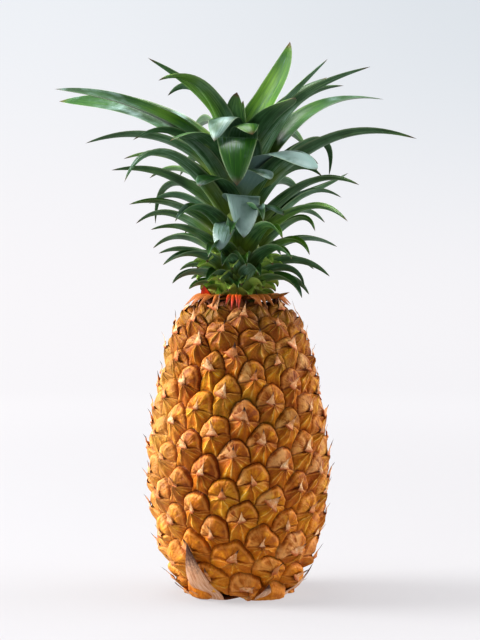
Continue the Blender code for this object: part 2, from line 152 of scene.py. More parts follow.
class Eyes:
    """Where every eye is, with spare ones past both ends, and each eye's own flat frame.

    That frame's origin is the focus, where disc and foot meet under the bract tip. x is to the right
    along the groove and y up, both in eye widths.
    """

    def __init__(self):
        top = skin.at(skin.along[-1], skin.eyes)
        number = np.arange(LOWEST_EYE - GHOST_EYES + 1, int(top - FIRST_EYE_SHARE))
        self.azimuth = (FIRST_EYE_AZIMUTH + EYE_TURN * number) % 360
        self.along = np.interp(FIRST_EYE_SHARE + number, skin.eyes, skin.along)
        self.width = np.sqrt(eye_area(skin.at(self.along, skin.height)))
        self.radius = skin.at(self.along, skin.radius)
        draw = np.random.default_rng(EYE_SEED)
        right, up, tilt, self.tone, self.pleat = draw.uniform(-1, 1, (5, len(number)))
        self.tilt = np.radians(GROOVE_TILT) * tilt
        self.focus_azimuth = self.azimuth + np.degrees(FOCUS_JITTER * right * self.width / self.radius)
        self.focus_along = self.along + (FOCUS_RISE + FOCUS_JITTER * up) * self.width

    def local(self, k, azimuth, along):
        """x and y in the frame of eye k."""
        x = np.radians(turn(self.focus_azimuth[k], azimuth)) * self.radius[k] / self.width[k]
        y = (along - self.focus_along[k]) / self.width[k]
        c, s = np.cos(self.tilt[k]), np.sin(self.tilt[k])
        return x * c + y * s, y * c - x * s

    def place(self, k, x, y):
        """Azimuth and distance up the outline of x, y in the frame of eye k."""
        c, s = np.cos(self.tilt[k]), np.sin(self.tilt[k])
        x, y = (x * c - y * s) * self.width[k], (x * s + y * c) * self.width[k]
        return self.focus_azimuth[k] + np.degrees(x / self.radius[k]), self.focus_along[k] + y


eyes = Eyes()
SHOWN = [k for k in range(GHOST_EYES - 1, len(eyes.along)) if eyes.along[k] < skin.along[-1 - OUTLINE_STEPS]]


def corner_places():
    """Where three eyes meet: azimuth, distance up the outline, and the three eyes.

    A corner under one eye and between two is drawn down, so that the eye's foot reaches between them.
    """
    azimuth, along, width = eyes.azimuth, eyes.along, eyes.width
    reach = np.exp(skin.at(along, skin.spread))
    angle = np.radians(azimuth)
    flat = [Vector(p) for p in zip(reach * np.cos(angle), reach * np.sin(angle))]
    corners = []
    for three in delaunay_2d_cdt(flat, [], [], 0, 1e-9, True)[2]:
        low, mid, high = sorted(along[k] for k in three)
        one_over_two = ((high - mid) - (mid - low)) / (high - low) / 2 + 0.5
        middle = azimuth[three[0]] + np.mean([turn(azimuth[three[0]], azimuth[k]) for k in three])
        drop = FOOT_REACH * one_over_two * np.mean([width[k] for k in three])
        corners.append((middle, (low + mid + high) / 3 - drop, set(three)))
    return corners


def rim_places(corners, loops):
    """Azimuth and distance up the outline of the points between each two neighbouring corners.

    Each rim bows up from the lower eye, whose round disc pushes into the foot of the one above.
    """
    azimuth, along, width = eyes.azimuth, eyes.along, eyes.width
    share = np.arange(1, RIM_CUTS + 1) / (RIM_CUTS + 1)
    places = {}
    for k, loop in loops.items():
        for start, end in zip(loop, loop[1:] + loop[:1]):
            swing = share * turn(corners[start][0], corners[end][0])
            climb = share * (corners[end][1] - corners[start][1])
            other = next(iter(corners[start][2] & corners[end][2] - {k}), None)
            if other is not None:
                low, high = sorted((k, other), key=lambda n: along[n])
                radius = skin.at((along[low] + along[high]) / 2, skin.radius)
                across = math.radians(turn(azimuth[low], azimuth[high])) * radius
                up = along[high] - along[low]
                bow = RIM_BOW * (width[low] + width[high]) / 2 * up / (across ** 2 + up ** 2)
                bow = bow * 4 * share * (1 - share)
                swing, climb = swing + np.degrees(bow * across / radius), climb + bow * up
            places[start, end] = (corners[start][0] + swing, corners[start][1] + climb)
    return places


def relief(x, y, ring, quirk):
    """Height over the valley at x, y from an eye's focus, all in eye widths. ring is 1 at the rim.

    quirk is four numbers from -1 to 1 that make one eye differ from the next.
    """
    keel, slope, pleat, tone = quirk
    y = y + GROOVE_DROOP * x * x
    disc = DISC_HEIGHT * np.sqrt(np.maximum(0, 1 - ring ** (4.5 + keel))) * (0.74 + 0.26 * ease(0, 0.2, y))
    disc -= 0.085 * np.abs(x - 0.03 - 0.04 * keel) - 0.05 * slope * x
    angle = np.degrees(np.arctan2(x, -y))
    ridge = 0
    for crest, share, by_pleat, by_tone, gain in PLEATS:
        off = np.abs(angle - crest - by_pleat * pleat - by_tone * tone)
        ridge = ridge + share * (1 + gain * tone) * np.exp(-off / PLEAT_SPREAD)
    ridge = (ridge - 0.45) * ease(0.05, 0.3, ring) * (1 - ease(0.75, 1, ring))
    foot = FOOT_HEIGHT * (1 - ring ** 1.25) * (1 - 0.12 * np.abs(x)) + PLEAT_HEIGHT * ridge
    above = ease(-0.02, 0.02, y)
    groove = 0.06 * np.exp(-((y - 0.012) / 0.028) ** 2) * ease(0.03, 0.14, np.abs(x)) * (1 - ring ** 6)
    return (foot * (1 - above) + disc * above) * (1 - ring ** 12) - groove


def rind():
    """The whole rind as one mesh, with each eye's own coordinates in its UV map."""
    corners = corner_places()
    loops = {}
    for k in SHOWN:
        near = [n for n, corner in enumerate(corners) if k in corner[2]]
        loops[k] = sorted(near, key=lambda n: math.atan2(*eyes.local(k, *corners[n][:2])[::-1]))
    places = rim_places(corners, loops)

    bm = bmesh.new()
    verts = {n: bm.verts.new((n, 0, 0)) for n in sorted(set().union(*loops.values()))}
    faces = {k: bm.faces.new([verts[n] for n in loop]) for k, loop in loops.items()}
    bmesh.ops.bisect_edges(bm, edges=bm.edges[:], cuts=RIM_CUTS)
    rings = {k: [face.verts[:]] for k, face in faces.items()}
    for _ in EYE_RINGS:
        bmesh.ops.inset_individual(bm, faces=list(faces.values()), thickness=0)
        for k, face in faces.items():
            rings[k].append(face.verts[:])
    hubs = bmesh.ops.poke(bm, faces=list(faces.values()))["verts"]
    bm.verts.index_update()

    count = len(bm.verts)
    at_azimuth, at_along, lift = np.zeros(count), np.zeros(count), np.zeros(count)
    at_ring, home = np.ones(count), np.full(count, -1)
    draw = random.Random(EYE_SEED)
    for (k, ring_verts), hub in zip(rings.items(), hubs):
        loop = loops[k]
        index = [v.index for v in ring_verts[0]]
        at_azimuth[index], at_along[index] = np.hstack([
            np.vstack([np.append(corners[a][0], places[a, b][0]), np.append(corners[a][1], places[a, b][1])])
            for a, b in zip(loop, loop[1:] + loop[:1])])
        rim_x, rim_y = eyes.local(k, at_azimuth[index], at_along[index])
        rim_angle, rim_reach = np.arctan2(rim_y, rim_x), np.hypot(rim_x, rim_y)
        quirk = draw.uniform(-1, 1), draw.uniform(-1, 1), eyes.pleat[k], eyes.tone[k]
        size = eyes.width[k] * (1 + 0.12 * draw.uniform(-1, 1))
        size *= 0.3 + 0.7 * ease(-12 * MM, 0, eyes.along[k])
        for ring, row in zip((*EYE_RINGS, 0.0), (*ring_verts[1:], [hub])):
            crowding = GROOVE_CROWDING * ease(0, 0.2, 1 - ring) / 2
            angle = rim_angle - crowding * np.sin(2 * rim_angle) if ring else np.zeros(1)
            reach = ring * np.interp(angle, rim_angle, rim_reach, period=2 * math.pi)
            x, y = reach * np.cos(angle), reach * np.sin(angle)
            index = [v.index for v in row]
            at_azimuth[index], at_along[index] = eyes.place(k, x, y)
            lift[index] = relief(x, y, ring, quirk) * size
            at_ring[index], home[index] = ring, k
    lift[home < 0] = -VALLEY_DEPTH * math.sqrt(EYE_AREA_MM2) * MM
    bare = skin.point(at_azimuth, at_along, 0)
    spots = skin.point(at_azimuth, at_along, lift)
    for scale, size in LUMPS:
        spots += size * np.array([noise.noise_vector(Vector(spot) * scale) for spot in bare])
    settled = SETTLED_MM * (1 - ease(*SETTLED_BELOW_MM, spots[:, 2] / MM))
    spots[:, 2] = np.maximum(spots[:, 2] - settled * MM, FLOOR_GAP)
    for v, spot in zip(bm.verts, spots):
        v.co = spot
    bmesh.ops.holes_fill(bm, edges=bm.edges[:])
    bmesh.ops.recalc_face_normals(bm, faces=bm.faces[:])
    mesh = bpy.data.meshes.new("rind")
    bm.to_mesh(mesh)
    bm.free()
    mesh.shade_smooth()

    corner = np.zeros(len(mesh.loops), dtype=int)
    mesh.loops.foreach_get("vertex_index", corner)
    first = np.zeros(len(mesh.polygons), dtype=int)
    mesh.polygons.foreach_get("loop_start", first)
    owner = np.maximum(np.maximum.reduceat(home[corner], first), 0)
    eye = np.repeat(owner, np.diff(np.append(first, len(corner))))
    x, y = eyes.local(eye, at_azimuth[corner], at_along[corner])
    uv = mesh.uv_layers.new(name="UVMap")
    uv.data.foreach_set("uv", np.stack([x / 2 + 0.5, y / 2 + 0.5], axis=-1).ravel())
    mesh.attributes.new("rim", "FLOAT", "POINT").data.foreach_set("value", at_ring)
    mesh.attributes.new("tone", "FLOAT", "CORNER").data.foreach_set("value", eyes.tone[eye] / 2 + 0.5)
    mesh.attributes.new("pleat", "FLOAT", "CORNER").data.foreach_set("value", eyes.pleat[eye])
    return mesh


def tint(*rgb):
    """The linear colour of an sRGB one given as 0 to 255."""
    return (*(((c / 255 + 0.055) / 1.055) ** 2.4 for c in rgb), 1.0)


class Paint:
    """A procedural material built up from small steps, each giving the socket the next one reads."""

    def __init__(self, name, roughness=0.5, **surface):
        self.material = bpy.data.materials.new(name)
        self.material.use_nodes = True
        self.tree = self.material.node_tree
        self.shader = self.tree.nodes["Principled BSDF"]
        for socket, value in {"Roughness": roughness, **surface}.items():
            self.put(self.shader.inputs[socket], value)

    def put(self, socket, value):
        if isinstance(value, bpy.types.NodeSocket):
            self.tree.links.new(value, socket)
        else:
            socket.default_value = value

    def node(self, kind, inputs=(), out=0, **settings):
        made = self.tree.nodes.new("ShaderNode" + kind)
        for name, value in settings.items():
            setattr(made, name, value)
        for socket, value in dict(inputs).items():
            self.put(made.inputs[socket], value)
        return made.outputs[out]

    def math(self, operation, *values):
        return self.node("Math", enumerate(values), operation=operation)

    def step(self, value, low, high):
        """0 where value is below low, 1 above high, smooth between. low may be the larger one."""
        return self.node("MapRange", {"Value": value, "From Min": low, "From Max": high},
                         interpolation_type="SMOOTHSTEP")

    def mix(self, share, a, b, blend="MIX"):
        return self.node("Mix", {0: share, 6: a, 7: b}, out=2, data_type="RGBA", blend_type=blend)

    def ramp(self, value, *stops):
        made = self.tree.nodes.new("ShaderNodeValToRGB")
        self.put(made.inputs[0], value)
        ramp = made.color_ramp
        while len(ramp.elements) < len(stops):
            ramp.elements.new(0.5)
        for element, (place, rgb) in zip(ramp.elements, stops):
            element.position, element.color = place, tint(*rgb)
        return made.outputs[0]

    def attribute(self, name):
        return self.node("Attribute", out=2, attribute_name=name)

    def uv(self, axis):
        split = self.node("SeparateXYZ", {0: self.node("TexCoord", out=2)}, out=axis)
        return split

    def place(self, axis):
        return self.node("SeparateXYZ", {0: self.node("TexCoord", out=3)}, out=axis)

    def noise(self, scale, detail=2.0, along_uv=None):
        """Noise in object space, or in the UV map when along_uv gives its scale across and along."""
        if along_uv is None:
            return self.node("TexNoise", {0: self.node("TexCoord", out=3), "Scale": scale, "Detail": detail})
        stretched = self.node("Mapping", {0: self.node("TexCoord", out=2), "Scale": (*along_uv, 1)})
        spread = self.node("VectorMath", {0: stretched, 1: self.attribute("tone")}, operation="ADD")
        return self.node("TexNoise", {0: spread, "Scale": scale, "Detail": detail})

    def finish(self, colour, height=None, depth=0.0005, strength=1.0):
        self.put(self.shader.inputs["Base Color"], colour)
        if height is not None:
            bump = self.node("Bump", {"Height": height, "Distance": depth, "Strength": strength})
            self.put(self.shader.inputs["Normal"], bump)
        return self.material


def rind_paint():
    p = Paint("rind", roughness=0.5)
    p.put(p.shader.inputs["Specular IOR Level"], 0.28)
    x = p.math("MULTIPLY_ADD", p.uv(0), 2.0, -1.0)
    y = p.math("MULTIPLY_ADD", p.uv(1), 2.0, -1.0)
    y = p.math("MULTIPLY_ADD", p.math("MULTIPLY", x, x), GROOVE_DROOP, y)
    rim, tone, pleat, height = p.attribute("rim"), p.attribute("tone"), p.attribute("pleat"), p.place(2)
    grain, blotch, broad = p.noise(900, 4), p.noise(190, 4), p.noise(28, 2)
    bent = p.math("MULTIPLY_ADD", blotch, 14.0, -7.0)
    turned = p.math("MULTIPLY_ADD", p.math("ARCTAN2", x, p.math("MULTIPLY", y, -1.0)), 180 / math.pi, bent)
    ray = p.node("CombineXYZ", {0: p.math("MULTIPLY", turned, 0.07), 1: p.math("MULTIPLY", rim, 0.9),
                                2: p.math("MULTIPLY", tone, 40.0)})
    streak = p.node("TexNoise", {0: ray, "Scale": 1.0, "Detail": 3.0})
    swing = p.math("MULTIPLY_ADD", tone, 2.0, -1.0)
    ridge, line = 0.0, 0.0
    for crest, share, by_pleat, by_tone, gain in PLEATS:
        place = p.math("MULTIPLY_ADD", swing, by_tone, p.math("MULTIPLY_ADD", pleat, by_pleat, crest))
        off = p.math("ABSOLUTE", p.math("SUBTRACT", turned, place))
        strength = p.math("MULTIPLY_ADD", swing, share * gain, share)
        ridge = p.math("MULTIPLY_ADD", p.math("EXPONENT", p.math("MULTIPLY", off, -1 / 8)), strength, ridge)
        line = p.math("MAXIMUM", line, p.math("MULTIPLY", p.step(off, 4.0, 0.3), strength))
    below = p.math("MULTIPLY", p.step(y, 0.01, -0.03), p.step(rim, 1.0, 0.75))
    ridge, line = p.math("MULTIPLY", ridge, below), p.math("MULTIPLY", line, below)

    shade = p.math("MULTIPLY_ADD", tone, 0.25, p.math("MULTIPLY_ADD", blotch, 0.9, -0.25))
    shade = p.math("MULTIPLY_ADD", streak, 0.7, p.math("ADD", shade, -0.1))
    foot = p.ramp(shade, (0.15, (142, 68, 0)), (0.4, (182, 104, 0)), (0.6, (208, 134, 4)), (0.85, (236, 180, 36)))
    # Painted shade: the foot is darker between its sharp folds, in the hollows where shade falls.
    foot = p.mix(p.math("MULTIPLY", p.step(ridge, 0.6, 0.1), 0.45), foot, tint(146, 62, 0))
    foot = p.mix(p.math("MULTIPLY", line, p.math("MULTIPLY_ADD", blotch, 1.6, -0.3)), foot, tint(252, 216, 130))
    disc = p.ramp(shade, (0.15, (116, 50, 0)), (0.4, (160, 84, 0)), (0.6, (192, 116, 4)), (0.85, (226, 164, 36)))
    # Painted shade: each disc is darker near its rim on its right side, away from the key light.
    edge = p.math("MULTIPLY", p.step(rim, 0.6, 0.95), p.step(x, -0.3, 0.25))
    disc = p.mix(p.math("MULTIPLY", edge, 0.5), disc, tint(132, 52, 2))
    halo = p.math("MULTIPLY", p.step(rim, 0.74, 0.82), p.step(rim, 0.92, 0.86))
    disc = p.mix(p.math("MULTIPLY", p.math("MULTIPLY", halo, blotch), 1.1), disc, tint(232, 160, 76))
    upper = p.step(height, 0.03, 0.17)
    green = p.math("MULTIPLY", p.step(p.math("MULTIPLY_ADD", tone, 0.2, broad), 0.58, 0.78),
                   p.math("MULTIPLY", upper, 0.45))
    fibre = p.step(p.math("MULTIPLY_ADD", blotch, 0.5, p.math("MULTIPLY", streak, 0.5)), 0.4, 0.56)
    paper = p.math("MULTIPLY", p.step(p.math("MULTIPLY_ADD", swing, 0.15, x), 0.08, -0.16), fibre)
    disc = p.mix(p.math("MULTIPLY", paper, p.math("MULTIPLY_ADD", pleat, 0.4, 0.25)), disc, tint(238, 192, 134))
    colour = p.mix(p.step(y, -0.012, 0.012), foot, disc)
    colour = p.mix(green, colour, tint(120, 104, 10))
    lip = p.math("MULTIPLY", p.step(y, -0.07, -0.045), p.step(y, -0.015, -0.035))
    colour = p.mix(p.math("MULTIPLY", p.math("MULTIPLY", lip, blotch), 0.6), colour, tint(240, 186, 96))
    # Painted shade: a dark line in the groove between each disc and the foot below it.
    groove = p.math("MULTIPLY", p.step(y, -0.02, 0.005), p.step(y, 0.05, 0.015))
    colour = p.mix(p.math("MULTIPLY", groove, p.math("MULTIPLY_ADD", blotch, 1.2, -0.15)), colour, tint(104, 30, 4))
    far = p.math("SQRT", p.math("ADD", p.math("MULTIPLY", x, x), p.math("MULTIPLY", y, y)))
    heart = p.step(p.math("MULTIPLY_ADD", streak, 0.14, far), 0.26, 0.1)
    colour = p.mix(p.math("MULTIPLY", heart, 0.6), colour, tint(126, 50, 14))
    # Painted shade in the crevices between the eyes. It is strongest towards each eye's upper right, away from the
    # light, and is left out near the floor. Its colour is maroon, olive green in patches.
    valley = p.step(p.math("MULTIPLY_ADD", blotch, 0.22, rim), 1.03, 1.12)
    dark = p.mix(p.step(broad, 0.54, 0.62), tint(92, 26, 2), tint(44, 66, 6))
    shaded = p.step(p.math("MULTIPLY_ADD", x, 0.9, y), -0.35, 0.4)
    valley = p.math("MULTIPLY", valley, p.math("MULTIPLY_ADD", shaded, 0.6, 0.15))
    valley = p.math("MULTIPLY", valley, p.math("MULTIPLY_ADD", pleat, 0.35, 0.8))
    colour = p.mix(p.math("MULTIPLY", valley, p.step(height, 0.001, 0.008)), colour, dark)
    # Painted shade under the collar and crown: the very top of the rind is darkened to maroon.
    colour = p.mix(p.math("MULTIPLY", p.step(height, 0.183, 0.192), 0.65), colour, tint(104, 26, 18))
    colour = p.mix(p.math("MULTIPLY", p.step(grain, 0.6, 0.75), 0.2), colour, tint(246, 196, 120))
    # Painted light: the lower part of the fruit is lighter and more golden, as if lit from the bright floor.
    colour = p.mix(p.math("MULTIPLY", p.step(height, 0.08, 0.01), 0.25), colour, tint(238, 152, 30))
    # Painted light: the left side of the fruit, towards the key light, is paler and creamier.
    colour = p.mix(p.math("MULTIPLY", p.step(p.place(0), -0.025, -0.055), 0.25), colour, tint(240, 196, 124))
    # Painted shade under the crown: the upper part of the fruit is darkened and browned.
    colour = p.mix(p.math("MULTIPLY", p.step(height, 0.13, 0.19), 0.8), colour, tint(196, 190, 160), "MULTIPLY")
    bump = p.math("ADD", p.math("MULTIPLY_ADD", ridge, 1.2, p.math("MULTIPLY", streak, 1.6)),
                  p.math("MULTIPLY_ADD", grain, 0.6, p.math("MULTIPLY", blotch, 1.5)))
    return p.finish(colour, bump, 0.0009, 0.85)


fruit = bpy.data.objects.new("fruit_rind", rind())
bpy.context.scene.collection.objects.link(fruit)
fruit.data.materials.append(rind_paint())
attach(fruit, "root")
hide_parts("fruit")

# The bract tips. Each eye grew behind a bract, and the bract's free end is a dry papery triangle that
# rises from the foot, leans over the disc and runs out into a dark spine.
TIP_STATIONS = (0.0, 0.08, 0.18, 0.29, 0.41, 0.54, 0.69, 0.84, 1.0)
TIP_COLUMNS = 6
CRUMPLE_SCALE = 420
TIP_HALF_WIDTH, TIP_REACH = (0.09, 0.22), (0.33, 0.52)
PAPERY_SHARE, PAPERY_WIDTH, PAPERY_SHIFT = 0.4, 1.7, -0.12
TIP_LIFT = (0.24, 0.27, 0.27, 0.262, 0.262, 0.275, 0.30, 0.335, 0.375)
HAIRS_FROM, HAIR_REACH, HAIR_LIFT = 160 * MM, 1.25, 1.2


def blade(bm, centre, out, width, thick, cup, power, columns, tone, crumple=0.0):
    """A closed tapering blade along the rows of centre, its upper face towards out.

    Its edges stand up from its middle by cup, or hang below it where cup is less than zero. crumple is
    how far its surface waves in and out.
    """
    ahead = np.gradient(centre, axis=0)
    side = np.cross(ahead, out)
    side /= np.linalg.norm(side, axis=1)[:, None]
    up = np.cross(side, ahead)
    up /= np.linalg.norm(up, axis=1)[:, None]
    angle = np.linspace(0, 2 * math.pi, columns + 1)
    across, over = np.cos(angle)[None, :], np.sin(angle)[None, :]
    lift = np.outer(thick, over) / 2 + np.asarray(cup)[:, None] * np.abs(across) ** power
    shift = np.outer(width, across) / 2
    places = centre[:, None] + shift[..., None] * side[:, None] + lift[..., None] * up[:, None]
    places[-1] = centre[-1]
    if crumple:
        waves = np.array([[noise.noise(Vector(p) * CRUMPLE_SCALE) for p in row] for row in places])
        waves[:, -1] = waves[:, 0]
        waves *= np.linspace(1, 0, len(centre))[:, None]
        places += crumple * waves[..., None] * up[:, None]
    rows = len(centre) - 1
    made = bmesh.ops.create_grid(bm, x_segments=columns, y_segments=rows, size=0.5, calc_uvs=True)["verts"]
    tones = bm.verts.layers.float["tone"]
    for v in made:
        v[tones] = tone
        v.co = places[round((v.co.y + 0.5) * rows), round((v.co.x + 0.5) * columns)]
    bmesh.ops.remove_doubles(bm, verts=made, dist=1e-7)


def blades_begun():
    bm = bmesh.new()
    bm.loops.layers.uv.new("UVMap")
    bm.verts.layers.float.new("tone")
    return bm


def blades_done(bm, name, paint, node):
    """One piece from the blades, closed, shaded smooth, painted, and standing for a CAD node."""
    bmesh.ops.holes_fill(bm, edges=bm.edges[:])
    bmesh.ops.recalc_face_normals(bm, faces=bm.faces[:])
    mesh = bpy.data.meshes.new(name)
    bm.to_mesh(mesh)
    bm.free()
    mesh.shade_smooth()
    mesh.set_sharp_from_angle(angle=math.radians(60))
    mesh.materials.append(paint)
    piece = bpy.data.objects.new(name, mesh)
    bpy.context.scene.collection.objects.link(piece)
    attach(piece, "root")
    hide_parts(node)
    return piece


def tip_paint():
    p = Paint("bract_tip", roughness=0.55)
    v, tone = p.uv(1), p.attribute("tone")
    fibre, crumple = p.noise(9, 3, (7, 1.2)), p.noise(500, 3)
    paper = p.ramp(p.math("MULTIPLY_ADD", crumple, 0.5, p.math("MULTIPLY", fibre, 0.5)),
                   (0.35, (208, 130, 66)), (0.5, (242, 198, 142)), (0.65, (255, 238, 208)))
    paper = p.mix(p.math("MULTIPLY_ADD", tone, 0.75, 0.1), paper, tint(202, 116, 34))
    colour = p.mix(p.step(v, 0.4, 0.0), paper, tint(182, 92, 26))
    end = p.step(p.math("MULTIPLY_ADD", tone, 0.25, v), 0.82, 1.02)
    colour = p.mix(end, colour, tint(66, 30, 14))
    return p.finish(colour, p.math("ADD", fibre, crumple), 0.0005, 0.7)


def bract_tips():
    draw = random.Random(EYE_SEED + 1)
    bm = blades_begun()
    t = np.array(TIP_STATIONS)
    for k in SHOWN:
        w = eyes.width[k]
        if eyes.along[k] < 6 * MM:
            continue
        half, aside = draw.uniform(*TIP_HALF_WIDTH), draw.uniform(-0.06, 0.04)
        if draw.random() < PAPERY_SHARE:
            half, aside = half * PAPERY_WIDTH, aside + PAPERY_SHIFT
        reach, lean, rise = draw.uniform(*TIP_REACH), draw.uniform(-0.10, 0.16), draw.uniform(0.9, 1.2)
        reach *= HAIR_REACH if eyes.along[k] > HAIRS_FROM and draw.random() < 0.5 else 1
        x = aside * (1 - t) ** 2 + lean * t ** 1.5
        spots = eyes.place(k, x, -0.06 + (reach + 0.06) * t)
        lift = np.array(TIP_LIFT) * (1 + (rise - 1) * t)
        if eyes.along[k] > HAIRS_FROM:
            lift *= 1 + (HAIR_LIFT - 1) * t ** 3
        centre = skin.point(*spots, lift * w)
        out = skin.point(*spots, (lift + 0.1) * w) - centre
        taper = (1 - t) ** 2.3 * (0.75 + 0.35 * ease(0, 0.12, t)) + 0.18 * (1 - t) ** 0.6 + 0.01
        blade(bm, centre, out, 2 * half * w * taper, 0.03 * w * (1 - 0.7 * t), -0.30 * half * w * taper, 1.2,
              TIP_COLUMNS, draw.random(), 0.11 * w)
    return blades_done(bm, "bract_tips", tip_paint(), "fruit")


bract_tips()

# The stalk. The fruit was cut off its stem just under the lowest eyes, and the dry bracts round the cut
# lie under the base and turn up outside those eyes.
STALK_RADIUS_MM, STALK_HEIGHT_MM = 17.0, 2.9
DRY_BRACTS_MM = (
    (-34, 40, 24, 7.2), (-72, 9, 11, 8.0), (28, 13, 12, 7.2), (70, 22, 12, 7.2), (112, 15, 13, 7.2),
    (160, 27, 13, 7.2), (205, 12, 12, 7.4), (250, 24, 13, 7.2),
)
DRY_LEVEL_MM = 0.9
DRY_COLUMNS = 14


def dry_paint():
    p = Paint("dry_bract", roughness=0.7)
    v, tone = p.uv(1), p.attribute("tone")
    fibre, grain = p.noise(14, 4, (5, 0.6)), p.noise(600, 3)
    colour = p.ramp(fibre, (0.28, (176, 118, 82)), (0.5, (222, 178, 142)), (0.72, (246, 220, 198)))
    colour = p.mix(p.math("MULTIPLY", tone, 0.4), colour, tint(186, 118, 62))
    colour = p.mix(p.step(p.math("ADD", v, p.math("MULTIPLY", grain, 0.2)), 0.85, 1.05), colour, tint(86, 50, 34))
    return p.finish(colour, p.math("ADD", fibre, p.math("MULTIPLY", grain, 0.4)), 0.0006, 0.8)


def stalk():
    draw = random.Random(EYE_SEED + 2)
    bm = blades_begun()
    tones = bm.verts.layers.float["tone"]
    disc = bmesh.ops.create_cone(bm, cap_ends=True, cap_tris=False, segments=48, radius1=STALK_RADIUS_MM * MM,
                                 radius2=STALK_RADIUS_MM * MM, depth=STALK_HEIGHT_MM * MM, calc_uvs=True)["verts"]
    for v in disc:
        v.co.z += STALK_HEIGHT_MM * MM / 2
        v[tones] = 0.3
    foot = OUTLINE_MM[0][0]
    for azimuth, tip, wide, gap in DRY_BRACTS_MM:
        t = np.linspace(0, 1, 22)
        share = np.clip((t - 0.4) / 0.6, 0, 1)
        height = DRY_LEVEL_MM + (tip - DRY_LEVEL_MM) * share ** 1.6
        along = np.interp(np.maximum(height, OUTLINE_MM[0][1]) * MM, skin.height[OUTLINE_STEPS:],
                          skin.along[OUTLINE_STEPS:])
        inner, outer = 0.5 * foot, 1.05 * foot + gap / 2
        flat = inner + (outer - inner) * np.minimum(t / 0.4, 1)
        beside = skin.at(along, skin.radius) / MM + gap
        radius = np.where(t < 0.4, flat, outer + (beside - outer) * np.minimum(1, 2.5 * share))
        sway = 3 * draw.uniform(-1, 1) * share ** 2
        angle = np.radians(azimuth + sway)
        centre = np.stack([np.sin(angle) * radius, -np.cos(angle) * radius, height], axis=-1) * MM
        run, rise = np.gradient(radius), np.gradient(height)
        out = np.stack([np.sin(angle) * rise, -np.cos(angle) * rise, -run], axis=-1)
        width = wide * MM * (1 - t ** 3) * (1 + 0.05 * np.sin(9 * t + 6 * draw.random()))
        blade(bm, centre, out, width, 0.9 * MM * (1 - 0.5 * t), -0.06 * width * ease(0.3, 0.6, t), 2.0,
              DRY_COLUMNS, draw.random())
    return blades_done(bm, "stalk_and_dry_bracts", dry_paint(), "stalk")


stalk()

# The collar. The bracts of the topmost eyes have no fruitlet to lie on, so they stand out flat under the
# crown, fresh red and orange, each drying to a brown hair at its tip.
COLLAR_LEVEL_MM = 192.25
COLLAR_ROOT_MM = (12.0, COLLAR_LEVEL_MM)
COLLAR_RING_MM = (18.5, 190.9, 193.4)
# Azimuth, reach, rise of the tip over the level, width, and how blunt the tip is.
COLLAR_BRACTS_MM = (
    (-5, 29, -1.2, 10, 2), (24, 27, 0.6, 9, 2), (44, 30, -0.8, 9, 2), (63, 36, 3.2, 12, 4), (104, 27, 0.8, 9, 2),
    (130, 31, -0.6, 10, 2), (155, 26, 2.0, 8, 2), (182, 30, 0.0, 10, 2), (208, 28, 1.6, 9, 2),
    (232, 31, -0.8, 9, 2), (260, 24, 3.0, 9, 2), (284, 28, 0.6, 9, 2), (305, 26, 7.6, 13, 8), (335, 30, -0.9, 9, 2),
)
COLLAR_BEND_MM = (20.0, 0.0)
HANGING_BRACTS_MM = (
    (-13, 34, -5.0, 2.6, 2), (-7, 38, -8.5, 3.2, 2), (-3, 35, -6.0, 2.6, 2), (2, 37, -8.0, 3.0, 2),
    (24, 34, -6.0, 8, 2), (43, 34, -5.5, 9, 2), (70, 35, -6.0, 9, 2), (-32, 34, -6.5, 6, 2), (-62, 34, -6.0, 9, 2),
    (34, 33, -5.0, 8, 2), (-47, 34, -6.5, 9, 2),
    (-78, 36, -6.5, 9, 2), (140, 35, -6.5, 9, 2), (196, 37, -7.5, 8, 2), (244, 35, -6.5, 9, 2),
    (92, 34, -5.5, 10, 2), (113, 35, -6.5, 9, 2), (165, 34, -6.0, 10, 2), (220, 34, -6.5, 9, 2),
    (265, 34, -5.5, 9, 2),
)
HANGING_BEND_MM = (27.0, 3.0)


def bezier(points, t):
    """Rows of points on a cubic curve."""
    a, b, c, d = np.array(points)[:, None]
    t = t[:, None]
    return a * (1 - t) ** 3 + 3 * b * t * (1 - t) ** 2 + 3 * c * t * t * (1 - t) + d * t ** 3


def upright(azimuth, path, drift=0.0):
    """Centre line and upper side of a blade whose (radius, height) path stands at an azimuth.

    drift carries the line sideways, in the same unit as the path.
    """
    angle = math.radians(azimuth)
    away, side = np.array([math.sin(angle), -math.cos(angle), 0]), np.array([math.cos(angle), math.sin(angle), 0])
    heading = np.gradient(path, axis=0)
    centre = path[:, :1] * away + path[:, 1:] * [0, 0, 1] + np.outer(drift * np.ones(len(path)), side)
    return centre, heading[:, :1] * [0, 0, 1] - heading[:, 1:] * away


def collar_paint():
    p = Paint("collar_bract", roughness=0.45)
    v, tone = p.uv(1), p.attribute("tone")
    fibre = p.noise(10, 3, (6, 0.8))
    colour = p.ramp(p.math("ADD", v, p.math("MULTIPLY_ADD", fibre, 0.5, -0.25)), (0.2, (204, 150, 40)),
                    (0.45, (220, 100, 18)), (0.8, (206, 56, 14)), (1.0, (132, 44, 22)))
    colour = p.mix(p.math("MULTIPLY", p.step(tone, 0.3, 0.8), 0.9), colour, tint(188, 118, 52))
    return p.finish(colour, fibre, 0.0004, 0.6)


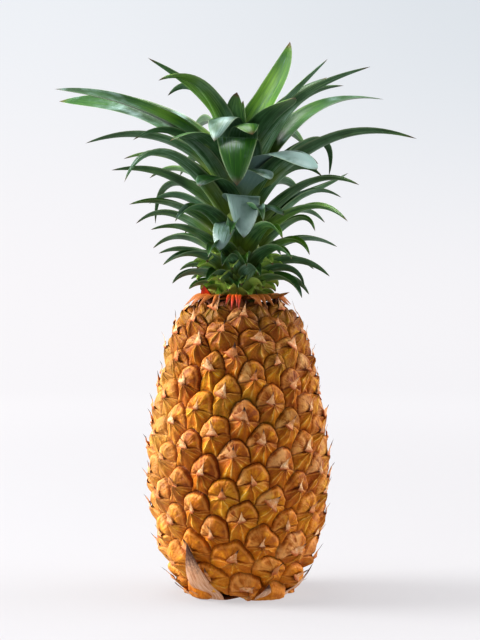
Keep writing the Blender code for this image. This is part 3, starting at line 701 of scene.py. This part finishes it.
def collar():
    draw = random.Random(EYE_SEED + 3)
    bm = blades_begun()
    radius, low, high = (size * MM for size in COLLAR_RING_MM)
    ring = bmesh.ops.create_cone(bm, cap_ends=True, cap_tris=False, segments=32, radius1=radius,
                                 radius2=0.9 * radius, depth=high - low, calc_uvs=True)["verts"]
    for v in ring:
        v.co.z += (low + high) / 2
        v[bm.verts.layers.float["tone"]] = 0.8
    t = np.linspace(0, 1, 14)
    for bracts, (shoulder, hump) in ((COLLAR_BRACTS_MM, COLLAR_BEND_MM), (HANGING_BRACTS_MM, HANGING_BEND_MM)):
        bend = (shoulder, COLLAR_LEVEL_MM + hump)
        for azimuth, reach, lift, wide, blunt in bracts:
            path = bezier((COLLAR_ROOT_MM, bend, bend, (reach, COLLAR_LEVEL_MM + lift)), t) * MM
            centre, out = upright(azimuth, path, 1.5 * MM * draw.uniform(-1, 1) * t ** 2)
            width = wide * MM * (1 - t ** blunt) + 0.3 * MM
            fresh = wide < 4 or blunt > 4
            blade(bm, centre, out, width, 1.1 * MM * (1 - 0.6 * t), -0.26 * width * ease(0.2, 0.7, t), 1.6, 12,
                  0.3 * draw.random() + (0 if fresh else 0.7))
    return blades_done(bm, "collar_bracts_red", collar_paint(), "collar_bracts")


collar()

# The crown. A short stem goes on through the top of the fruit and carries some 90 stiff, channelled
# leaves in a golden-angle spiral, short and drooping at its foot, long and upright towards its top.
CROWN_BASE_MM = 194.0
CROWN_STEM_MM = ((13.0, -5.0), (15.0, 0.0), (16.5, 8.0), (15.0, 34.0), (12.0, 62.0), (7.0, 84.0), (1.5, 92.0))
LEAF_COUNT, LEAF_TURN = 92, 137.5
LEAF_ROOT_RADII_MM, LEAF_ROOTS_MM, LEAF_ROOT_CROWDING = (12.5, 3.5), (2.5, 86.0), 1.35
LEAF_CUP = (0.34, 0.52)
FULL_TAPER, FULL_WIDTH, FULL_CUP = 5.0, 1.25, (0.30, 0.06)
# The side leaves that are as broad, by the height of their tips, with how fresh their green is.
FULL_TIPS_MM, FULL_TURN = {130: 0.35, 129: 0.3, 165: 0.62, 141: 0.35}, 0.5
FRONT_TAPER, FRONT_END, FRONT_CUP = 5.5, 0.75, (0.16, -0.14)
FRONT_TONES = (0.1, 0.2, 0.05, 0.3, 0.1, 0.32, 0.05, 0.4, 0.45, 0.2, 0.6, 0.8)
LEAF_ROOT_SHARE, LEAF_WIDEST_AT, TAPER = 0.86, 0.25, 2.2
LEAF_SEED = 11
LEAF_ROWS, LEAF_COLUMNS = 26, 16
SCALE_LEAVES, SCALE_RISE, SCALE_FALL, SCALE_WIDTH_MM = 38, 66.0, -62.0, 12.0
SCALE_ROOTS_MM, SCALE_REACH_MM, SCALE_CLIMB_MM = (-4.0, 15.0), (23.0, 31.0), (-0.5, 5.0)
# Added to the tone of the scale leaves: partly the real yellow-green of young leaves, partly painted light that
# brightens them where they sit in the crown's shade.
SCALE_FRESHNESS_AND_PAINTED_LIGHT = 0.9

# Leaves that stand out at the sides, lowest first: how far the tip is from the axis across the view,
# tip height, rise of the root and of the tip in degrees, length of the arch's handles, and width.
SIDE_VIEW_FROM = 0.70
LEFT_LEAVES = (
    (32, 3, 30, -35, 0.40, 12), (31, 9, 36, -28, 0.40, 12), (42, 7, 32, -40, 0.40, 12),
    (38, 15, 36, -32, 0.40, 12), (47, 19, 35, -30, 0.40, 12), (42, 22, 40, -30, 0.40, 12),
    (51, 26, 32, -18, 0.40, 12), (56, 29, 42, -38, 0.42, 13), (55, 41, 35, -15, 0.40, 12),
    (66, 45, 42, -38, 0.42, 13), (55, 45, 68, -85, 0.75, 14), (69, 57, 38, -12, 0.40, 13),
    (58, 58, 46, -32, 0.42, 13), (70, 70, 55, -60, 0.50, 14), (60, 76, 54, -24, 0.42, 14),
    (81, 79, 40, -6, 0.40, 14), (76, 88, 52, -14, 0.42, 14), (66, 97, 64, -30, 0.44, 15),
    (99, 97, 58, -16, 0.42, 16), (124, 130, 52, 0, 0.36, 20), (115, 129, 58, 3, 0.34, 20),
    (46, 128, 76, -38, 0.44, 20), (50, 134, 76, -20, 0.44, 18), (58, 151, 76, 34, 0.40, 14),
)
RIGHT_LEAVES = (
    (40, -2, 34, -58, 0.46, 12), (46, -1, 26, -52, 0.44, 12), (42, 5, 44, -72, 0.46, 12),
    (50, 15, 34, -36, 0.40, 12), (59, 11, 32, -38, 0.40, 12), (45, 25, 42, -66, 0.46, 12),
    (65, 30, 34, -24, 0.40, 12), (49, 40, 42, -70, 0.48, 12), (58, 46, 44, -34, 0.42, 13),
    (67, 46, 36, -34, 0.42, 13), (67, 62, 40, -30, 0.42, 13), (76, 69, 48, -22, 0.42, 14),
    (73, 79, 44, 32, 0.40, 14), (54, 75, 64, -40, 0.46, 18), (50, 82, 66, -34, 0.46, 16),
    (59, 76, 62, -97, 0.72, 15), (112, 98, 43, -16, 0.42, 17), (99, 130, 60, -4, 0.42, 16),
    (68, 134, 58, 6, 0.42, 18), (82, 142, 66, 14, 0.42, 14), (58, 141, 62, 30, 0.40, 19),
    (57, 150, 64, 46, 0.40, 13), (34, 165, 76, 70, 0.36, 16),
)

# Upper leaves that face the front, lowest first: azimuth, reach, tip height, rise of the root and of
# the tip, length of the handles, and width. They arch over and hang their tips towards the front.
FRONT_LEAVES_FROM = 0.5
FRONT_LEAVES = (
    (-19, 36, 28, 66, -74, 0.62, 15), (36, 48, 50, 56, -40, 0.46, 16), (4, 47, 36, 74, -76, 0.72, 20),
    (-31, 48, 68, 66, -44, 0.50, 16), (23, 50, 72, 66, -40, 0.50, 17), (-1, 50, 68, 82, -76, 1.05, 25),
    (44, 70, 78, 66, -34, 0.52, 24), (-43, 62, 96, 68, -30, 0.46, 18), (12, 42, 100, 78, -50, 0.55, 18),
    (-21, 42, 96, 82, -66, 0.78, 20), (32, 66, 122, 72, 6, 0.42, 18), (-3, 18, 128, 84, 62, 0.38, 13),
)

# The other leaves follow a rule. Each pair is the value at the lowest leaf and at the highest.
RULE_REACH_MM = (33.0, 98.0)
RULE_CLIMB_MM = (2.0, 32.0)
RULE_RISE = (38.0, 70.0)
RULE_FALL = (-58.0, -24.0)
RULE_HANDLE = 0.46
RULE_WIDTH_MM = (12.0, 20.0)
RULE_SPREAD = (8.0, 5.0, 4.0, 10.0)
UPRIGHT_FROM = 0.90
UPRIGHT_LEAF = (16, 128, 82, 66, 0.36, 14)
UPRIGHT_SPREAD = (8.0, 14.0)


def between(pair, share):
    """The value a share of the way from the first of the pair to the second."""
    return pair[0] + (pair[1] - pair[0]) * share


def leaf_plan():
    """Every crown leaf: azimuth, root radius, root height, reach, tip height, root rise, tip rise,
    length of the arch's handles, and width.

    Leaves follow a golden-angle spiral. Those that show at the sides take the next entry of their
    side's list, those that face the front high up take the next entry of the front's list, and the
    rest follow a rule on height with a small seeded spread.
    """
    draw = random.Random(LEAF_SEED)
    left, right, front = list(LEFT_LEAVES), list(RIGHT_LEAVES), list(FRONT_LEAVES)
    plan = []
    for number in range(LEAF_COUNT):
        azimuth = LEAF_TURN * number % 360
        share = number / (LEAF_COUNT - 1)
        inset = between(LEAF_ROOT_RADII_MM, share)
        root = between(LEAF_ROOTS_MM, share ** LEAF_ROOT_CROWDING)
        across = math.sin(math.radians(azimuth))
        faces_front = math.cos(math.radians(azimuth)) > 0
        spread = draw.uniform(-1, 1)
        if abs(across) > SIDE_VIEW_FROM:
            side = right if across > 0 else left
            reach, tip, rise, fall, handle, width = side.pop(0)
            reach = reach / abs(across)
        elif faces_front and share > FRONT_LEAVES_FROM:
            azimuth, reach, tip, rise, fall, handle, width = front.pop(0)
        elif share > UPRIGHT_FROM:
            reach, tip, rise, fall, handle, width = UPRIGHT_LEAF
            reach += UPRIGHT_SPREAD[0] * spread
            tip += UPRIGHT_SPREAD[1] * spread
        else:
            reach = between(RULE_REACH_MM, share) + RULE_SPREAD[0] * spread
            tip = root + between(RULE_CLIMB_MM, share) + RULE_SPREAD[1] * spread
            rise = between(RULE_RISE, share) + RULE_SPREAD[2] * spread
            fall = between(RULE_FALL, share) + RULE_SPREAD[3] * spread
            handle, width = RULE_HANDLE, between(RULE_WIDTH_MM, share)
        plan.append((azimuth, inset, root, reach, tip, rise, fall, handle, width))
    return plan


def scale_leaves(draw):
    """The short broad leaves at the crown's foot that hide its stem, as entries like leaf_plan's."""
    for number in range(SCALE_LEAVES):
        share = number / (SCALE_LEAVES - 1)
        root = between(SCALE_ROOTS_MM, share)
        spread = draw.uniform(-1, 1)
        yield (LEAF_TURN * number + 50, 13.5, root, between(SCALE_REACH_MM, share) + 1.5 * spread,
               root + between(SCALE_CLIMB_MM, share) + 2 * spread, SCALE_RISE, SCALE_FALL + 25 * spread,
               0.45, SCALE_WIDTH_MM)


def leaf_paint():
    p = Paint("leaf", roughness=0.36)
    p.put(p.shader.inputs["Sheen Weight"], 0.05)
    p.put(p.shader.inputs["Sheen Roughness"], 0.4)
    p.put(p.shader.inputs["Sheen Tint"], tint(190, 220, 205))
    u, v, tone = p.uv(0), p.uv(1), p.attribute("tone")
    under = p.step(u, 0.49, 0.51)
    across = p.math("COSINE", p.math("MULTIPLY", u, 2 * math.pi))
    vein = p.math("MULTIPLY_ADD", p.math("COSINE", p.math("MULTIPLY", across, 60.0)), 0.5, 0.5)
    blotch, patch, streak = p.noise(60, 3), p.noise(24, 2), p.noise(6, 3, (12, 0.7))
    fresh = p.math("MULTIPLY_ADD", streak, 0.35, p.math("MULTIPLY_ADD", patch, 0.5, p.math("MULTIPLY", tone, 0.35)))
    top = p.ramp(fresh, (0.4, (12, 46, 8)), (0.58, (40, 92, 16)), (0.75, (110, 152, 32)), (1.0, (158, 184, 62)))
    old = p.step(tone, 0.3, 0.0)
    bloom = p.math("MULTIPLY", p.step(p.math("MULTIPLY_ADD", old, 0.25, blotch), 0.46, 0.76), p.step(v, 0.0, 0.4))
    bloom = p.math("MULTIPLY", bloom, p.step(fresh, 0.62, 0.46))
    top = p.mix(p.math("MULTIPLY", bloom, 0.8), top, tint(168, 194, 190))
    back = p.ramp(p.math("MULTIPLY_ADD", streak, 0.5, p.math("MULTIPLY", blotch, 0.5)), (0.35, (28, 68, 22)),
                  (0.52, (68, 110, 66)), (0.68, (132, 162, 144)))
    back = p.mix(p.math("MULTIPLY", old, 0.7), back, tint(168, 194, 198))
    back = p.mix(p.math("MULTIPLY", p.step(fresh, 0.6, 0.78), 0.75), back, tint(110, 150, 44))
    colour = p.mix(under, top, back)
    # The freshest leaves, the scale leaves at the crown's foot, are painted a lighter yellow-green: partly their
    # own colour, partly painted light against the shade there.
    colour = p.mix(p.math("MULTIPLY", p.step(tone, 0.95, 1.25), 0.8), colour, tint(190, 216, 116))
    colour = p.mix(p.math("MULTIPLY", vein, 0.07), colour, tint(14, 36, 12))
    # Pale margins along the leaf edges: partly the leaf's own pale edge, partly a painted highlight.
    edge = p.step(p.math("ABSOLUTE", across), 0.9, 0.99)
    colour = p.mix(p.math("MULTIPLY", edge, 0.35), colour, tint(176, 192, 150))
    root = p.step(p.math("ADD", v, p.math("MULTIPLY_ADD", blotch, 0.3, -0.15)), 0.36, 0.05)
    colour = p.mix(p.math("MULTIPLY", root, 0.65), colour, tint(154, 170, 54))
    dry = p.step(p.math("ADD", v, p.math("MULTIPLY", tone, 0.06)), 0.965, 1.03)
    colour = p.mix(dry, colour, tint(96, 70, 42))
    return p.finish(colour, p.math("MULTIPLY_ADD", streak, 2.0, p.math("MULTIPLY", vein, 0.5)), 0.0002, 0.25)


def crown():
    draw = random.Random(LEAF_SEED + 1)
    bm = blades_begun()
    tones = bm.verts.layers.float["tone"]
    line = [bm.verts.new((r * MM, 0, (z + CROWN_BASE_MM) * MM)) for r, z in CROWN_STEM_MM]
    edges = [bm.edges.new(pair) for pair in zip(line, line[1:])]
    bmesh.ops.spin(bm, geom=line + edges, cent=(0, 0, 0), axis=(0, 0, 1), angle=2 * math.pi, steps=32,
                   use_merge=True)
    for v in bm.verts:
        v[tones] = 0.5
    t = np.linspace(0, 1, LEAF_ROWS)
    swell = np.sin(math.pi / 2 * np.minimum(t / LEAF_WIDEST_AT, 2))
    swell = LEAF_ROOT_SHARE + (1 - LEAF_ROOT_SHARE) * swell
    fronts = {(leaf[0], leaf[2]): tone for leaf, tone in zip(FRONT_LEAVES, FRONT_TONES)}
    for number, leaf in enumerate([*leaf_plan(), *scale_leaves(draw)]):
        azimuth, inset, root, reach, tip, rise, fall, handle, wide = leaf
        start, end = np.array((inset, root)), np.array((reach, tip))
        pull = handle * math.dist(start, end)
        rise, fall = math.radians(rise), math.radians(fall)
        bend = start + pull * np.array((math.cos(rise), math.sin(rise)))
        lean = end - pull * np.array((math.cos(fall), math.sin(fall)))
        path = (bezier((start, bend, lean, end), t) + [0, CROWN_BASE_MM]) * MM
        sway = 3 * MM * draw.uniform(-1, 1) * np.sin(math.pi * t) * t
        centre, out = upright(azimuth, path, sway)
        if tip in FULL_TIPS_MM:
            out = out / np.linalg.norm(out, axis=1)[:, None] + FULL_TURN * ease(0, 0.4, t)[:, None] * [0, -1, 0]
        roll = draw.uniform(-0.35, 0.35) * t
        side = np.cross(np.gradient(centre, axis=0), out)
        side /= np.linalg.norm(side, axis=1)[:, None]
        out = out / np.linalg.norm(out, axis=1)[:, None] + roll[:, None] * side
        front, full = (azimuth, tip) in fronts, tip in FULL_TIPS_MM
        taper = FRONT_TAPER if front else FULL_TAPER if full else TAPER
        width = wide * MM * swell * (1 - t ** taper) ** (FRONT_END if front else 0.9)
        width *= FULL_WIDTH if front or full else 1
        cup = width * between(FRONT_CUP if front else FULL_CUP if full else LEAF_CUP, t)
        tone = 0.45 * draw.random() + 0.3 * root / LEAF_ROOTS_MM[1] + 0.1
        tone = fronts.get((azimuth, tip), FULL_TIPS_MM.get(tip, tone))
        tone += SCALE_FRESHNESS_AND_PAINTED_LIGHT if number >= LEAF_COUNT else 0
        blade(bm, centre, out, width, (1.9 - 1.3 * t) * MM, cup, 2.0, LEAF_COLUMNS, tone)
    return blades_done(bm, "crown_leaves", leaf_paint(), "crown")


crown()

# The studio. A white sweep, one wide soft light high on the left in front, and a pale surround.
CAMERA_DISTANCE, CAMERA_LIFT = 1.25, math.radians(2.5)
CAMERA_AIM = Vector((0.001, 0, 0.177))
LENS_MM = 109.0
FLOOR_REACH, WALL_BEND, WALL_TOP = 1.7, 0.9, 6.0


def sweep():
    """A round pale floor that curves up into a wall, brightest behind the fruit and in front of it dim."""
    bm = bmesh.new()
    line = [(0.02, 0)] + [(FLOOR_REACH * k / 12, 0) for k in range(1, 13)]
    line += [(FLOOR_REACH + WALL_BEND * math.sin(a), WALL_BEND * (1 - math.cos(a)))
             for a in np.linspace(0, math.pi / 2, 13)[1:]]
    line.append((FLOOR_REACH + WALL_BEND, WALL_TOP))
    verts = [bm.verts.new((r, 0, z)) for r, z in line]
    edges = [bm.edges.new(pair) for pair in zip(verts, verts[1:])]
    bmesh.ops.spin(bm, geom=verts + edges, cent=(0, 0, 0), axis=(0, 0, 1), angle=2 * math.pi, steps=96,
                   use_merge=True)
    bmesh.ops.holes_fill(bm, edges=[e for e in bm.edges if e.is_boundary and e.verts[0].co.z == 0])
    bmesh.ops.recalc_face_normals(bm, faces=bm.faces[:])
    bmesh.ops.reverse_faces(bm, faces=bm.faces[:])
    mesh = bpy.data.meshes.new("sweep")
    bm.to_mesh(mesh)
    bm.free()
    mesh.shade_smooth()
    floor = bpy.data.objects.new("sweep", mesh)
    bpy.context.scene.collection.objects.link(floor)
    p = Paint("sweep", roughness=0.9)
    p.put(p.shader.inputs["Specular IOR Level"], 0.0)
    x, y, z = p.place(0), p.place(1), p.place(2)
    near = p.step(p.node("VectorMath", {0: p.node("TexCoord", out=3)}, out=1, operation="LENGTH"), 1.5, 0.35)
    glow = p.mix(p.step(z, 0.1, 0.8), tint(236, 234, 236), tint(227, 230, 234))
    right = p.math("MULTIPLY", p.step(x, -0.5, 0.6), p.math("MULTIPLY_ADD", p.step(z, 0.05, 0.8), 0.88, 0.12))
    glow = p.mix(right, glow, tint(212, 217, 222))
    glow = p.mix(near, glow, tint(202, 200, 202))
    glow = p.mix(p.step(p.math("ABSOLUTE", x), 0.5, 1.4), glow, tint(176, 177, 180))
    glow = p.mix(p.step(y, -0.2, -0.9), glow, tint(108, 109, 111))
    p.put(p.shader.inputs["Emission Color"], glow)
    p.put(p.shader.inputs["Emission Strength"], 1.0)
    mesh.materials.append(p.finish(p.mix(near, tint(80, 80, 81), tint(108, 108, 109))))


def area_light(name, place, aim, size, power, colour=(1, 1, 1)):
    data = bpy.data.lights.new(name, "AREA")
    data.shape, data.size, data.energy, data.color = "DISK", size, power, colour
    light = bpy.data.objects.new(name, data)
    light.location = place
    light.rotation_euler = (Vector(aim) - Vector(place)).to_track_quat("-Z", "Y").to_euler()
    bpy.context.scene.collection.objects.link(light)


def studio():
    sweep()
    area_light("key", (-2.1, 0.1, 1.2), (0, 0, 0.15), 1.4, 120)
    area_light("front", (-1.3, -1.9, 0.8), (0, 0, 0.3), 0.9, 6.5)
    area_light("rim", (1.9, 0.15, 0.9), (0, 0, 0.15), 2.2, 56)
    area_light("top", (-0.3, 0.1, 1.7), (0, 0, 0.3), 0.9, 22)
    world = bpy.data.worlds.new("surround")
    world.use_nodes = True
    world.node_tree.nodes["Background"].inputs[0].default_value = (1.0, 1.0, 1.02, 1)
    world.node_tree.nodes["Background"].inputs[1].default_value = 0.06
    bpy.context.scene.world = world
    bpy.context.scene.view_settings.view_transform = "Standard"
    bpy.context.scene.view_settings.gamma = 0.82

    data = bpy.data.cameras.new("camera")
    data.lens = LENS_MM
    camera = bpy.data.objects.new("camera", data)
    back = Vector((0, -math.cos(CAMERA_LIFT), math.sin(CAMERA_LIFT)))
    camera.location = CAMERA_AIM + back * CAMERA_DISTANCE
    camera.rotation_euler = (-back).to_track_quat("-Z", "Y").to_euler()
    bpy.context.scene.collection.objects.link(camera)
    bpy.context.scene.camera = camera


studio()
